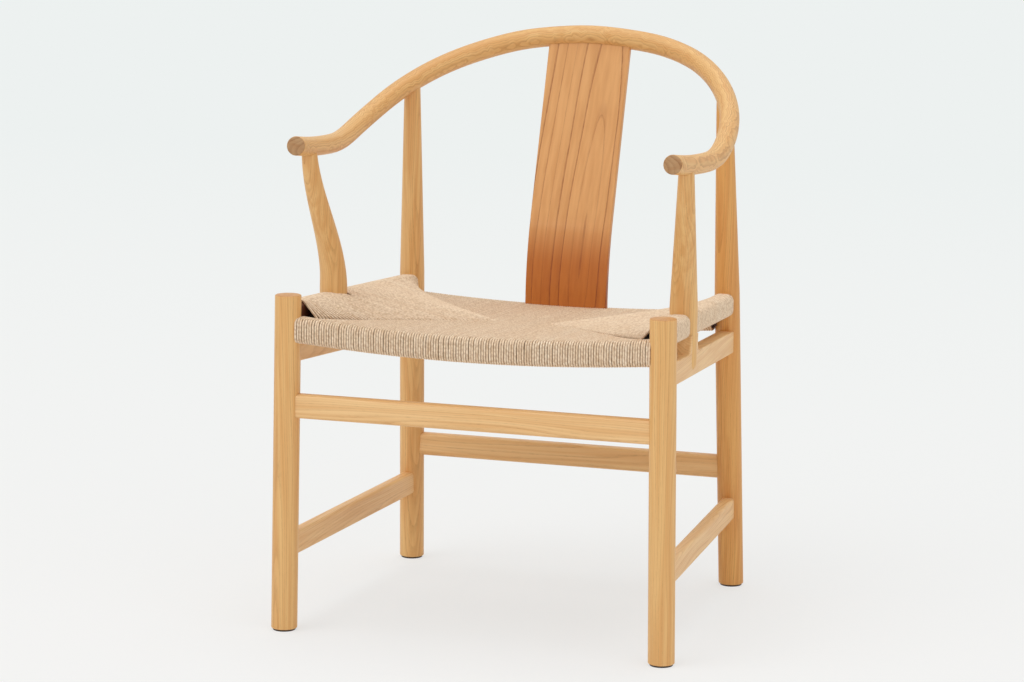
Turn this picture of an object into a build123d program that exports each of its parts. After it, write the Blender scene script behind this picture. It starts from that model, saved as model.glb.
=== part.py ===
from build123d import *

import os
from math import asin, degrees, sqrt

# Horseshoe-back armchair: a round-legged ash frame with a woven paper-cord seat.
#
# Frame: X across, -Y to the front, +Z up, origin on the floor under the middle of the
# chair. Right is +X and left is -X. All sizes are in millimetres.

os.makedirs("parts", exist_ok=True)

# ---------------------------------------------------------------- driving dimensions
# Overall
overall_width = 567.0  # across the front feet
overall_depth = 562.0  # front of the front legs to the back of the crest rail
overall_height = 790.0  # floor to the top of the crest rail

# Joinery
glue_gap = 0.1  # between a tenon, shoulder or scribe and its seat
tenon_thickness = 10.0
stretcher_tenon_height = 20.0
rail_tenon_height = 16.0
tenon_stop = 4.0  # a rail's tenon ends this far short of the leg's axis

# Feet
glide_dia = 31.0
glide_height = 2.5
glide_edge = 0.8
glide_pin_dia = 5.0
glide_pin_length = 14.0

# Front legs: round, leaning in slightly as they rise
leg_dia = 35.5
leg_edge = 1.6  # softened top and foot
front_leg_top = 461.0
front_leg_lean = 5.95  # how far its top leans inward of its foot

# Rear posts: round to the seat, then tapering up to the crest rail
rear_foot_span = 487.6  # between the rear feet's axes
leg_setback = 456.5  # rear foot behind the front foot, axis to axis
rear_post_lean = 13.15  # how far it leans inward of its foot, at the crest rail
rear_post_rake = 47.2  # how far it leans forward of its foot, at the crest rail
post_taper_start = 432.0
post_top_dia = 22.6
post_tenon_dia = 14.0
post_tenon_reach = 6.0  # past the crest rail's centre line

# Crest rail: one bent round rail that falls towards the arms
crest_back_dia = 28.5
crest_end_dia = 26.0
crest_taper_power = 1.5  # it stays full behind the sitter and slims towards its ends
crest_end_edge = 1.5
crest_post_z = 710.5  # height of its centre line over the rear posts
back_curve = (  # centre line right of its middle: across, forward of it and below it
    (55.7, 0.5, 3.4),
    (104.0, 2.7, 10.5),
    (149.2, 19.0, 22.7),
    (185.3, 51.8, 36.6),
)
arm_curve = (  # centre line of an arm: inboard of the front foot, share of the way from
    # the arm support back to the rear post, and height
    (18.1, 0.873, 693.0),
    (6.7, 0.737, 675.4),
    (-0.5, 0.573, 657.9),
    (-2.2, 0.409, 645.9),
    (-0.4, 0.221, 645.3),
)
arm_seat = (2.2, 87.0, 650.5)  # over the support: inboard of the front foot, behind it, height
arm_end = (5.6, 28.9, 657.6)

# Back splat: a curved board between the rear seat rail and the crest rail
splat_width = 121.0
splat_thickness = 11.0
splat_edge = 2.0
splat_bend_radius = 400.0  # of its middle surface, just above the seat
splat_tenon_width = 90.0
splat_tenon_thickness = 7.0
splat_tenon_depth = 12.0  # into the rear seat rail
splat_tenon_reach = 4.0  # past the crest rail's centre line
splat_scribe_depth = 1.0  # the board's foot is cut to the rail's top from this far below it

# Arm supports: S-curved round uprights, lapped on the outside of the side rails
support_setback = 141.3  # foot axis behind the front leg's axis
support_inset = 2.8  # foot axis inboard of the line between the leg axes
support_straight_z = 455.0  # the S-curve ends here, and the foot below is straight
support_top_dia = 20.2
support_foot_dia = 37.6
support_nose_z = 379.2  # the foot rounds in below this height
support_nose_radius = 14.0
support_nose_length = 13.5
support_tenon_dia = 12.0
support_tenon_reach = 5.0  # past the crest rail's centre line

# Seat rails: the side ones are straight and higher, the front and rear ones are dished
seat_rail_edge = 6.0
side_seat_rail_height = 25.0
side_seat_rail_thickness = 22.0
front_seat_rail_height = 28.0
rear_seat_rail_height = 22.0
dished_rail_thickness = 20.0
side_seat_rail_inset = (5.3, 1.7)  # inboard of the front leg's axis and of the rear post's
front_seat_rail_inset = 2.5
rear_seat_rail_inset = 7.0
front_seat_rail_z = 416.1  # heights of the centre lines at the legs
rear_seat_rail_z = 390.8
side_seat_rail_front_z = 437.4
side_seat_rail_rear_z = 413.2
front_dish = 13.0
rear_dish = 9.0
dished_shoulder_gap = 1.5  # between a flat shoulder and the leg's round, under the cord

# Lower side rails: boards under the side seat rails, with a riser behind each arm support
lower_rail_height = 31.0
lower_rail_thickness = 22.0
lower_rail_edge = 2.0
lower_rail_front_z = 385.6
lower_rail_rear_z = 359.5
riser_width = 44.0
riser_setback = 146.0
riser_fillet = 12.0

# Stretchers
stretcher_height = 32.6
stretcher_thickness = 18.0
stretcher_edge = 5.0
front_stretcher_z = 311.0
rear_stretcher_z = 175.0
side_stretcher_z = 116.4

# Woven seat
cord_dia = 3.5
cord_clearance = 0.3  # between the cord and the wood
cord_end_gap = 2.0  # between the last turn and a leg
corner_top_z = (428.0, 403.0)  # of the weave, where two fields meet at a front or rear corner
centre_top_z = 404.0
seam_rise = 1.5  # of the seams over the very middle
seam_half_gap = 40.0  # the side fields' points stop this far from the middle
weave_start = 0.03  # share of the way between the rails where the four fields begin
seam_thickness = 18.0

# ---------------------------------------------------------------- axes of the uprights
SIDES = {"left": -1, "right": 1}
leg_radius = leg_dia / 2
front_foot_x = overall_width / 2 - leg_radius
front_foot_y = leg_radius - overall_depth / 2


def front_axis(side, z):
    """Point at height z on a front leg's axis."""
    x = front_foot_x - front_leg_lean * z / front_leg_top
    return Vector(side * x, front_foot_y, z)


def rear_axis(side, z):
    """Point at height z on a rear post's axis."""
    share = z / crest_post_z
    x = rear_foot_span / 2 - rear_post_lean * share
    return Vector(side * x, front_foot_y + leg_setback - rear_post_rake * share, z)


def upright_plane(axis_point, side, z):
    """Plane across an upright's axis at height z."""
    rise = axis_point(side, z + leg_dia) - axis_point(side, z)
    return Plane(origin=axis_point(side, z), x_dir=(1, 0, 0), z_dir=rise)


def peg(axis_point, side, z, radius, length):
    """A round peg up an upright's axis from height z."""
    with BuildPart() as body:
        with BuildSketch(upright_plane(axis_point, side, z)):
            Circle(radius)
        extrude(amount=length)
    return body.part


def leg_round(side, gap):
    """The plain round of a front leg, longer than the leg and grown by a gap."""
    return peg(front_axis, side, -leg_dia, leg_radius + gap, front_leg_top + 2 * leg_dia)


def post_round(side, gap):
    """The round of a rear post, from under the floor to the crest rail's centre line."""
    low = rear_axis(side, -leg_dia)
    run = rear_axis(side, crest_post_z) - low
    taper_run = (rear_axis(side, post_taper_start) - low).length
    across = run.cross(Vector(0, 1, 0)).normalized()
    with BuildPart() as body:
        with BuildSketch(Plane(origin=low, x_dir=across, z_dir=across.cross(run))):
            with BuildLine():
                Polyline(
                    (0, 0),
                    (leg_radius + gap, 0),
                    (leg_radius + gap, taper_run),
                    (post_top_dia / 2 + gap, run.length),
                    (0, run.length),
                    close=True,
                )
            make_face()
        revolve(axis=Axis(low, run))
    return body.part


# ---------------------------------------------------------------- crest rail's round
crest_back = Vector(
    0, (overall_depth - crest_back_dia) / 2, overall_height - crest_back_dia / 2
)


def arm_point(side, inboard, setback, z):
    """Point at height z, at two distances from the front foot's axis."""
    return Vector(side * (front_foot_x - inboard), front_foot_y + setback, z)


def crest_points(side):
    """Centre-line points of one half of the crest rail, from the back to the arm's end."""
    back = [crest_back + Vector(side * x, -y, -z) for x, y, z in back_curve]
    post = rear_axis(side, crest_post_z)
    arm_run = post.Y - front_foot_y - arm_seat[1]
    arm = [arm_point(side, x, arm_seat[1] + arm_run * share, z) for x, share, z in arm_curve]
    return [*back, post, *arm, arm_point(side, *arm_seat), arm_point(side, *arm_end)]


with BuildLine() as crest_line:
    Spline(*reversed(crest_points(-1)), crest_back, *crest_points(1))
crest_path = crest_line.edges()[0]


def crest_round(gap):
    """The crest rail's round, full at the back and slimmer at its ends, grown by a gap."""
    stations = 60
    with BuildPart() as body:
        for station in range(stations + 1):
            share = station / stations
            outward = abs(2 * share - 1) ** crest_taper_power
            dia = crest_back_dia + (crest_end_dia - crest_back_dia) * outward
            tangent = crest_path % share
            level = Vector(0, 0, 1).cross(tangent)
            with BuildSketch(Plane(origin=crest_path @ share, x_dir=level, z_dir=tangent)):
                Circle(dia / 2 + gap)
        loft()
    return body.part


crest_scribe = crest_round(glue_gap)  # what fits against the crest rail is cut by this


# ---------------------------------------------------------------- straight bars
def bar_plane(start, end):
    """Plane at start that faces end, with a level local X and local Y upwards."""
    run = end - start
    return Plane(origin=start, x_dir=Vector(0, 0, 1).cross(run), z_dir=run)


def bar(start, end, thickness, height, edge):
    """A straight bar with rounded long edges."""
    with BuildPart() as body:
        with BuildSketch(bar_plane(start, end)):
            RectangleRounded(thickness, height, edge)
        extrude(amount=(end - start).length)
    return body.part


def bar_core(start, end, height, gap):
    """The core of a bar, which runs on into the legs as its tenons, grown by a gap."""
    stop = (end - start).normalized() * (tenon_stop - gap)
    with BuildPart() as body:
        with BuildSketch(bar_plane(start + stop, end)):
            Rectangle(tenon_thickness + 2 * gap, height + 2 * gap)
        extrude(amount=(end - start - stop * 2).length)
    return body.part


def front_stretcher_ends():
    """Leg-axis points that the front stretcher runs between."""
    return front_axis(-1, front_stretcher_z), front_axis(1, front_stretcher_z)


def rear_stretcher_ends():
    """Post-axis points that the rear stretcher runs between."""
    return rear_axis(-1, rear_stretcher_z), rear_axis(1, rear_stretcher_z)


def side_stretcher_ends(side):
    """Axis points that a side stretcher runs between."""
    return front_axis(side, side_stretcher_z), rear_axis(side, side_stretcher_z)


def lower_rail_ends(side):
    """Axis points that a lower side rail runs between."""
    return front_axis(side, lower_rail_front_z), rear_axis(side, lower_rail_rear_z)


def side_seat_rail_ends(side):
    """Points inboard of the axes that a side seat rail runs between."""
    front_inset, rear_inset = side_seat_rail_inset
    front = front_axis(side, side_seat_rail_front_z) - Vector(side * front_inset, 0, 0)
    return front, rear_axis(side, side_seat_rail_rear_z) - Vector(side * rear_inset, 0, 0)


def at_setback(ends, setback):
    """Point of a side rail's centre line at a distance behind the front leg's axis."""
    start, end = ends
    return start + (end - start) * (setback / (end.Y - start.Y))


def side_seat_rail_bar(side, gap):
    """A side seat rail's bar, grown by a gap."""
    thickness = side_seat_rail_thickness + 2 * gap
    height = side_seat_rail_height + 2 * gap
    return bar(*side_seat_rail_ends(side), thickness, height, seat_rail_edge + gap)


# ---------------------------------------------------------------- dished bars
DISHED_HEIGHT = {"front": front_seat_rail_height, "rear": rear_seat_rail_height}


def dished_ends(name):
    """Ends of a dished rail's centre line, left and right, level with each other."""
    if name == "front":
        inset = Vector(0, front_seat_rail_inset, 0)
        return [front_axis(side, front_seat_rail_z) + inset for side in (-1, 1)]
    inset = Vector(0, -rear_seat_rail_inset, 0)
    return [rear_axis(side, rear_seat_rail_z) + inset for side in (-1, 1)]


def dished_centre(name):
    """Centre of the arc that a dished rail's centre line follows, and the arc's radius."""
    end = dished_ends(name)[1]
    dish = front_dish if name == "front" else rear_dish
    radius = (end.X**2 + dish**2) / (2 * dish)
    return Vector(0, end.Y, end.Z - dish + radius), radius


def dished_point(name, x):
    """Point at x on a dished rail's centre line."""
    centre, radius = dished_centre(name)
    return Vector(x, centre.Y, centre.Z - sqrt(radius**2 - x**2))


def dished_bar(name, reach, thickness, height, edge):
    """A bar along a dished rail's centre line, out to reach on either side."""
    centre, radius = dished_centre(name)
    start = dished_point(name, -reach)
    along = (centre - start).cross(Vector(0, 1, 0))
    with BuildPart() as body:
        with BuildSketch(Plane(origin=start, x_dir=(0, 1, 0), z_dir=along)):
            if edge:
                RectangleRounded(thickness, height, edge)
            else:
                Rectangle(thickness, height)
        revolve(axis=Axis(centre, (0, -1, 0)), revolution_arc=2 * degrees(asin(reach / radius)))
    return body.part


def dished_rail_bar(name, gap):
    """A dished seat rail's bar between its two shoulders, with its section grown by a gap."""
    shoulder = dished_ends(name)[1].X - leg_radius - dished_shoulder_gap
    thickness = dished_rail_thickness + 2 * gap
    height = DISHED_HEIGHT[name] + 2 * gap
    return dished_bar(name, shoulder, thickness, height, seat_rail_edge + gap)


def dished_core(name, gap):
    """The core of a dished rail, which runs on into the legs as its tenons."""
    reach = dished_ends(name)[1].X - tenon_stop + gap
    return dished_bar(name, reach, tenon_thickness + 2 * gap, rail_tenon_height + 2 * gap, 0)


# ---------------------------------------------------------------- splat's board
def splat_board(width, thickness, edge, drop, reach):
    """A board along the splat's middle line: upright, round the bend, then straight.

    It starts at a drop below the rear seat rail's top, and ends at a reach past the crest
    rail's centre line. The straight upper part is tangent to the bend.
    """
    foot = dished_point("rear", 0) + Vector(0, 0, rear_seat_rail_height / 2)
    bend_centre = foot + Vector(0, splat_bend_radius, 0)
    to_crest = crest_back - bend_centre
    straight = sqrt(to_crest.length**2 - splat_bend_radius**2)
    lean_sin = (straight * to_crest.Y + splat_bend_radius * to_crest.Z) / to_crest.length**2
    lean_cos = sqrt(1 - lean_sin**2)
    bend_end = bend_centre + Vector(0, -lean_cos, lean_sin) * splat_bend_radius
    with BuildPart() as body:
        with BuildLine() as middle:
            Line(foot - Vector(0, 0, drop), foot)
            TangentArc(foot, bend_end, tangent=(0, 0, 1))
            Line(bend_end, bend_end + Vector(0, lean_sin, lean_cos) * (straight + reach))
        with BuildSketch(Plane(origin=middle.wires()[0] @ 0, z_dir=(0, 0, 1))):
            if edge:
                RectangleRounded(width, thickness, edge)
            else:
                Rectangle(width, thickness)
        sweep(path=middle.wires()[0])
    return body.part


def splat_core(gap):
    """The thinner core of the splat, which runs on as its two tenons, grown by a gap."""
    width = splat_tenon_width + 2 * gap
    thickness = splat_tenon_thickness + 2 * gap
    drop = splat_tenon_depth + gap
    return splat_board(width, thickness, 0, drop, splat_tenon_reach + gap)


# ---------------------------------------------------------------- arm support's round
def support_foot(side):
    """Top of the straight foot of an arm support, on its axis."""
    axes = front_axis(side, support_straight_z), rear_axis(side, support_straight_z)
    return at_setback(axes, support_setback) - Vector(side * support_inset, 0, 0)


def support_axis(side, z):
    """Point at height z on an arm support's axis: an S-curve over a straight foot."""
    foot = support_foot(side)
    top = arm_point(side, *arm_seat)
    share = max(0, (z - foot.Z) / (top.Z - foot.Z))
    eased = share * share * (3 - 2 * share)
    return Vector(foot.X + (top.X - foot.X) * eased, foot.Y + (top.Y - foot.Y) * eased, z)


def support_radius(z):
    """Radius of an arm support at height z: rounded in at its nose, then tapering up."""
    if z < support_nose_z:
        below = support_nose_z - z
        nose_in = support_nose_radius - sqrt(support_nose_radius**2 - below**2)
        return support_foot_dia / 2 - nose_in
    share = max(0, (z - support_straight_z) / (arm_seat[2] - support_straight_z))
    return (support_foot_dia + (support_top_dia - support_foot_dia) * share) / 2


def lap_block(side, ends, outer, height):
    """Everything inboard of a side rail's outer face, over a height about its middle."""
    lap_reach = 60.0
    start, end = ends
    with BuildPart() as body:
        with BuildSketch(bar_plane(start, end)):
            with Locations((side * (lap_reach / 2 - outer), 0)):
                Rectangle(lap_reach, height)
        extrude(amount=(end - start).length)
    return body.part


def support_round(side, gap):
    """An arm support without its upper tenon, lapped on the rails and grown by a gap."""
    seat_rail = side_seat_rail_ends(side)
    lower_rail = lower_rail_ends(side)
    rail_under = at_setback(seat_rail, support_setback).Z - side_seat_rail_height / 2
    lower_reach = rail_under - at_setback(lower_rail, support_setback).Z
    spans = (
        (support_nose_z - support_nose_length, support_nose_z, 5),
        (support_nose_z, support_straight_z, 4),
        (support_straight_z, arm_seat[2], 12),
    )
    heights = [low + (high - low) * i / steps for low, high, steps in spans for i in range(steps)]
    nudge = support_top_dia / 200
    with BuildPart() as body:
        for z in [*heights, arm_seat[2]]:
            rise = support_axis(side, z + nudge) - support_axis(side, z - nudge)
            middle = support_axis(side, z)
            with BuildSketch(Plane(origin=middle, x_dir=(side, 0, 0), z_dir=rise)):
                Circle(support_radius(z) + gap)
        loft()
        fit = 2 * (glue_gap - gap)
        outer = (side_seat_rail_thickness + fit) / 2
        add(lap_block(side, seat_rail, outer, side_seat_rail_height + fit), mode=Mode.SUBTRACT)
        outer = (lower_rail_thickness + fit) / 2
        add(lap_block(side, lower_rail, outer, 2 * lower_reach), mode=Mode.SUBTRACT)
        add(crest_scribe, mode=Mode.SUBTRACT)
    return body.part


def support_peg(side, gap):
    """The round tenon at the top of an arm support, grown by a gap."""
    top = support_axis(side, arm_seat[2])
    length = crest_end_dia
    with BuildPart() as body:
        with BuildSketch(Plane(origin=top - Vector(0, 0, length))):
            Circle(support_tenon_dia / 2 + gap)
        extrude(amount=length + support_tenon_reach + gap)
    return body.part


def post_peg(side, gap):
    """The round tenon at the top of a rear post, grown by a gap."""
    length = crest_back_dia
    reach = length + post_tenon_reach + gap
    return peg(rear_axis, side, crest_post_z - length, post_tenon_dia / 2 + gap, reach)


def glide_pin(axis_point, side, gap):
    """The pin that holds a foot glide in its leg, grown by a gap."""
    radius = glide_pin_dia / 2 + gap
    return peg(axis_point, side, glide_height - glide_edge, radius, glide_pin_length + gap)


def upright_round(axis_point, side, gap):
    """The round of the front leg or rear post with this axis, grown by a gap."""
    return leg_round(side, gap) if axis_point is front_axis else post_round(side, gap)


def lower_rail_board(side, gap):
    """A lower side rail between the axes, with its riser up to the seat rail."""
    start, end = lower_rail_ends(side)
    run = end - start
    half_height = lower_rail_height / 2
    seat_start, seat_end = side_seat_rail_ends(side)
    under = Vector(0, 0, glue_gap + side_seat_rail_height / 2 - gap)
    riser_run = riser_setback * run.length / run.Y
    riser_top = seat_start.Z - start.Z
    elevation = Plane(origin=start, x_dir=run, z_dir=run.cross(Vector(0, 0, 1)))
    underside = Plane(
        origin=seat_start - under,
        x_dir=seat_end - seat_start,
        z_dir=Vector(0, 0, 1).cross(seat_end - seat_start).cross(seat_start - seat_end),
    )
    with BuildPart() as body:
        with BuildSketch(elevation) as face:
            with Locations((run.length / 2, 0)):
                Rectangle(run.length, lower_rail_height + 2 * gap)
            with Locations((riser_run, riser_top / 2)):
                Rectangle(riser_width + 2 * gap, riser_top)
            inner_corners = face.vertices().group_by(Axis.Y)[1].sort_by(Axis.X)[1:3]
            fillet(inner_corners, riser_fillet)
        extrude(amount=lower_rail_thickness / 2 + gap, both=True)
        fillet(body.faces().filter_by(Axis(start, elevation.z_dir)).edges(), lower_rail_edge)
        split(bisect_by=underside, keep=Keep.BOTTOM)
    return body.part


# ---------------------------------------------------------------- woven seat's outlines
wrap = cord_dia + cord_clearance  # how far the weave stands off a rail's faces


def side_wrap_ends(side):
    """Ends of the cord's wrap on a side seat rail, just clear of the leg and the post."""
    start, end = side_seat_rail_ends(side)
    stop = (end - start).normalized() * (leg_radius + cord_end_gap)
    return start + stop, end - stop


def side_wrap_bar(side):
    """The cord's wrap on a side seat rail, filled."""
    thickness = side_seat_rail_thickness + 2 * wrap
    height = side_seat_rail_height + 2 * wrap
    return bar(*side_wrap_ends(side), thickness, height, seat_rail_edge + wrap)


def dished_wrap_bar(name):
    """The cord's wrap on a dished seat rail, filled."""
    reach = dished_ends(name)[1].X - leg_radius - cord_end_gap
    thickness = dished_rail_thickness + 2 * wrap
    return dished_bar(name, reach, thickness, DISHED_HEIGHT[name] + 2 * wrap, seat_rail_edge + wrap)


def blend(first, last, share):
    """Value between two, at a share of the way."""
    return first + (last - first) * share


def weave_outline(share):
    """Section of the weave across the seat, at a share of the way from front rail to rear.

    Between the seams it follows the front or rear field, and outside them it climbs to the
    side rails. The seams run from the corners to the points of the side fields.
    """
    front, rear = dished_point("front", 0), dished_point("rear", 0)
    y = blend(front.Y, rear.Y, share)
    ends = side_seat_rail_ends(1)
    side_point = at_setback(ends, y - ends[0].Y)
    to_middle = 1 - abs(2 * share - 1)
    roll = front if share < 0.5 else rear
    corner_z = corner_top_z[0 if share < 0.5 else 1]
    over_rail = wrap - cord_dia / 4
    roll_half = DISHED_HEIGHT["front" if share < 0.5 else "rear"] / 2 + over_rail
    side_half = side_seat_rail_height / 2 + over_rail
    field_top = blend(roll.Z + roll_half, centre_top_z, to_middle)
    field_under = blend(roll.Z - roll_half, centre_top_z - seam_thickness, to_middle)
    seam_top = blend(corner_z, centre_top_z + seam_rise, to_middle)
    seam_x = blend(side_point.X, seam_half_gap, to_middle)
    top = [
        (-side_point.X, side_point.Z + side_half),
        (-seam_x, seam_top),
        (0, field_top),
        (seam_x, seam_top),
        (side_point.X, side_point.Z + side_half),
    ]
    under = [
        (side_point.X, side_point.Z - side_half),
        (seam_x, seam_top - seam_thickness),
        (0, field_under),
        (-seam_x, seam_top - seam_thickness),
        (-side_point.X, side_point.Z - side_half),
    ]
    return y, top + under


def finish(part, name):
    """Label a finished piece and write it."""
    part.label = name
    export_step(part, f"parts/{name}.step")


# ---------------------------------------------------------------- front legs
for name, side in SIDES.items():
    with BuildPart() as front_leg:
        add(leg_round(side, 0))
        split(bisect_by=Plane.XY.offset(glide_height), keep=Keep.TOP)
        split(bisect_by=Plane.XY.offset(front_leg_top), keep=Keep.BOTTOM)
        fillet(front_leg.faces().filter_by(Axis.Z).edges(), leg_edge)
        add(bar_core(*front_stretcher_ends(), stretcher_tenon_height, glue_gap), mode=Mode.SUBTRACT)
        add(bar_core(*side_stretcher_ends(side), stretcher_tenon_height, glue_gap), mode=Mode.SUBTRACT)
        add(bar_core(*lower_rail_ends(side), rail_tenon_height, glue_gap), mode=Mode.SUBTRACT)
        add(bar_core(*side_seat_rail_ends(side), rail_tenon_height, glue_gap), mode=Mode.SUBTRACT)
        add(dished_core("front", glue_gap), mode=Mode.SUBTRACT)
        add(glide_pin(front_axis, side, glue_gap), mode=Mode.SUBTRACT)
    finish(front_leg.part, f"front_leg_{name}")

# ---------------------------------------------------------------- rear posts
for name, side in SIDES.items():
    with BuildPart() as rear_post:
        add(post_round(side, 0))
        split(bisect_by=Plane.XY.offset(glide_height), keep=Keep.TOP)
        fillet(rear_post.faces().sort_by(Axis.Z)[0].edges(), leg_edge)
        add(crest_scribe, mode=Mode.SUBTRACT)
        add(post_peg(side, 0))
        add(bar_core(*rear_stretcher_ends(), stretcher_tenon_height, glue_gap), mode=Mode.SUBTRACT)
        add(bar_core(*side_stretcher_ends(side), stretcher_tenon_height, glue_gap), mode=Mode.SUBTRACT)
        add(bar_core(*lower_rail_ends(side), rail_tenon_height, glue_gap), mode=Mode.SUBTRACT)
        add(bar_core(*side_seat_rail_ends(side), rail_tenon_height, glue_gap), mode=Mode.SUBTRACT)
        add(dished_core("rear", glue_gap), mode=Mode.SUBTRACT)
        add(glide_pin(rear_axis, side, glue_gap), mode=Mode.SUBTRACT)
    finish(rear_post.part, f"rear_post_{name}")

# ---------------------------------------------------------------- foot glides
for end, axis_point in {"front": front_axis, "rear": rear_axis}.items():
    for name, side in SIDES.items():
        foot = axis_point(side, glide_height)
        with BuildPart() as glide:
            with BuildSketch(Plane(origin=(foot.X, foot.Y, 0))):
                Circle(glide_dia / 2)
            extrude(amount=glide_height)
            fillet(glide.edges().sort_by(Axis.Z)[0], glide_edge)
            add(glide_pin(axis_point, side, 0))
        finish(glide.part, f"foot_glide_{end}_{name}")

# ---------------------------------------------------------------- crest rail
with BuildPart() as crest_rail:
    add(crest_round(0))
    ends = crest_rail.faces().sort_by(Axis.Y)[:2]
    fillet(ends.edges(), crest_end_edge)
    for side in SIDES.values():
        add(post_peg(side, glue_gap), mode=Mode.SUBTRACT)
        add(support_peg(side, glue_gap), mode=Mode.SUBTRACT)
    add(splat_core(glue_gap), mode=Mode.SUBTRACT)
finish(crest_rail.part, "crest_rail")

# ---------------------------------------------------------------- back splat
with BuildPart() as back_splat:
    add(splat_board(splat_width, splat_thickness, splat_edge, splat_scribe_depth, 0))
    add(dished_rail_bar("rear", glue_gap), mode=Mode.SUBTRACT)
    add(crest_scribe, mode=Mode.SUBTRACT)
    add(splat_core(0))
finish(back_splat.part, "back_splat")

# ---------------------------------------------------------------- arm supports
for name, side in SIDES.items():
    with BuildPart() as arm_support:
        add(support_round(side, 0))
        add(support_peg(side, 0))
    finish(arm_support.part, f"arm_support_{name}")

# ---------------------------------------------------------------- dished seat rails
for name in DISHED_HEIGHT:
    with BuildPart() as dished_rail:
        add(dished_rail_bar(name, 0))
        add(dished_core(name, 0))
        if name == "rear":
            add(splat_core(glue_gap), mode=Mode.SUBTRACT)
    finish(dished_rail.part, f"seat_rail_{name}")

# ---------------------------------------------------------------- side seat rails
for name, side in SIDES.items():
    with BuildPart() as side_seat_rail:
        add(side_seat_rail_bar(side, 0))
        add(leg_round(side, glue_gap), mode=Mode.SUBTRACT)
        add(post_round(side, glue_gap), mode=Mode.SUBTRACT)
        add(bar_core(*side_seat_rail_ends(side), rail_tenon_height, 0))
    finish(side_seat_rail.part, f"seat_rail_{name}")

# ---------------------------------------------------------------- lower side rails
for name, side in SIDES.items():
    with BuildPart() as lower_rail:
        add(lower_rail_board(side, 0))
        add(leg_round(side, glue_gap), mode=Mode.SUBTRACT)
        add(post_round(side, glue_gap), mode=Mode.SUBTRACT)
        add(bar_core(*lower_rail_ends(side), rail_tenon_height, 0))
    finish(lower_rail.part, f"lower_side_rail_{name}")

# ---------------------------------------------------------------- stretchers
for name, side in SIDES.items():
    ends = side_stretcher_ends(side)
    with BuildPart() as side_stretcher:
        add(bar(*ends, stretcher_thickness, stretcher_height, stretcher_edge))
        add(leg_round(side, glue_gap), mode=Mode.SUBTRACT)
        add(post_round(side, glue_gap), mode=Mode.SUBTRACT)
        add(bar_core(*ends, stretcher_tenon_height, 0))
    finish(side_stretcher.part, f"stretcher_{name}")

for name, ends in {"front": front_stretcher_ends(), "rear": rear_stretcher_ends()}.items():
    axis_point = {"front": front_axis, "rear": rear_axis}[name]
    with BuildPart() as stretcher:
        add(bar(*ends, stretcher_thickness, stretcher_height, stretcher_edge))
        for side in SIDES.values():
            add(upright_round(axis_point, side, glue_gap), mode=Mode.SUBTRACT)
        add(bar_core(*ends, stretcher_tenon_height, 0))
    finish(stretcher.part, f"stretcher_{name}")

# ---------------------------------------------------------------- woven seat
with BuildPart() as seat_weave:
    stations = 8
    for station in range(stations + 1):
        y, outline = weave_outline(blend(weave_start, 1 - weave_start, station / stations))
        with BuildSketch(Plane.XZ.offset(-y)):
            with BuildLine():
                Polyline(*outline, close=True)
            make_face()
    loft(ruled=True)
    for name in DISHED_HEIGHT:
        add(dished_wrap_bar(name))
    for side in SIDES.values():
        add(side_wrap_bar(side))
    for name in DISHED_HEIGHT:
        add(dished_rail_bar(name, cord_clearance), mode=Mode.SUBTRACT)
    for side in SIDES.values():
        add(side_seat_rail_bar(side, cord_clearance), mode=Mode.SUBTRACT)
        add(lower_rail_board(side, cord_clearance), mode=Mode.SUBTRACT)
        add(support_round(side, cord_clearance), mode=Mode.SUBTRACT)
        add(leg_round(side, cord_clearance), mode=Mode.SUBTRACT)
        add(post_round(side, cord_clearance), mode=Mode.SUBTRACT)
    width = splat_width + 2 * cord_clearance
    thickness = splat_thickness + 2 * cord_clearance
    add(splat_board(width, thickness, splat_edge, splat_scribe_depth, 0), mode=Mode.SUBTRACT)
finish(seat_weave.part, "seat_weave")
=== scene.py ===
# %% [markdown]
# # A horseshoe-back armchair with a woven cord seat
#
# The chair is an ash frame of round legs, one bent rail that is both back and arms, a
# curved splat, and a seat woven from twisted paper cord. The wooden parts arrive as the
# CAD frame. This script gives them their finish, and weaves the seat cord by cord.
#
# The frame is loaded first, because every piece stands in its coordinates.

# %% Load the frame
import math
import random

import bmesh
import bpy
from mathutils import Matrix, Vector


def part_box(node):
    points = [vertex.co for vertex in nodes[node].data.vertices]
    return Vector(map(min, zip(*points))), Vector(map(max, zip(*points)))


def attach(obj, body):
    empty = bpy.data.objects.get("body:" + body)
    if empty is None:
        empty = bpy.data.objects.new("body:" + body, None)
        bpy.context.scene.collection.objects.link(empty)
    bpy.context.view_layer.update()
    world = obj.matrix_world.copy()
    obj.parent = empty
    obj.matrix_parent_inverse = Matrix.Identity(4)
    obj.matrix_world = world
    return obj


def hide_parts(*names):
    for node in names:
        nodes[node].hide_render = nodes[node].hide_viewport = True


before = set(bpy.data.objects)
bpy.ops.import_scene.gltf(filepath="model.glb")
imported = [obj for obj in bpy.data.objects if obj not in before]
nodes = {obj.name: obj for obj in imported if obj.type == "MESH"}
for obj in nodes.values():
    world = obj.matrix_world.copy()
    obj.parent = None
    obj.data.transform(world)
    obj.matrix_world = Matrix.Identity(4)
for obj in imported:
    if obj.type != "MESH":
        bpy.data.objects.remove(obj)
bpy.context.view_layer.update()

MM = 0.001  # the CAD's sizes are written here in millimetres

# %% [markdown]
# ## Camera
#
# A long lens from well back keeps the four legs nearly parallel. The camera stands to the
# chair's right, a little above the arms, and looks slightly down. Its place is given in
# millimetres and its turn as three angles, in the order a tripod has them: pan, tilt, roll.

# %% Camera
def add_object(name, data):
    """An object of some data, linked into the scene."""
    thing = bpy.data.objects.new(name, data)
    bpy.context.scene.collection.objects.link(thing)
    return thing


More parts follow.
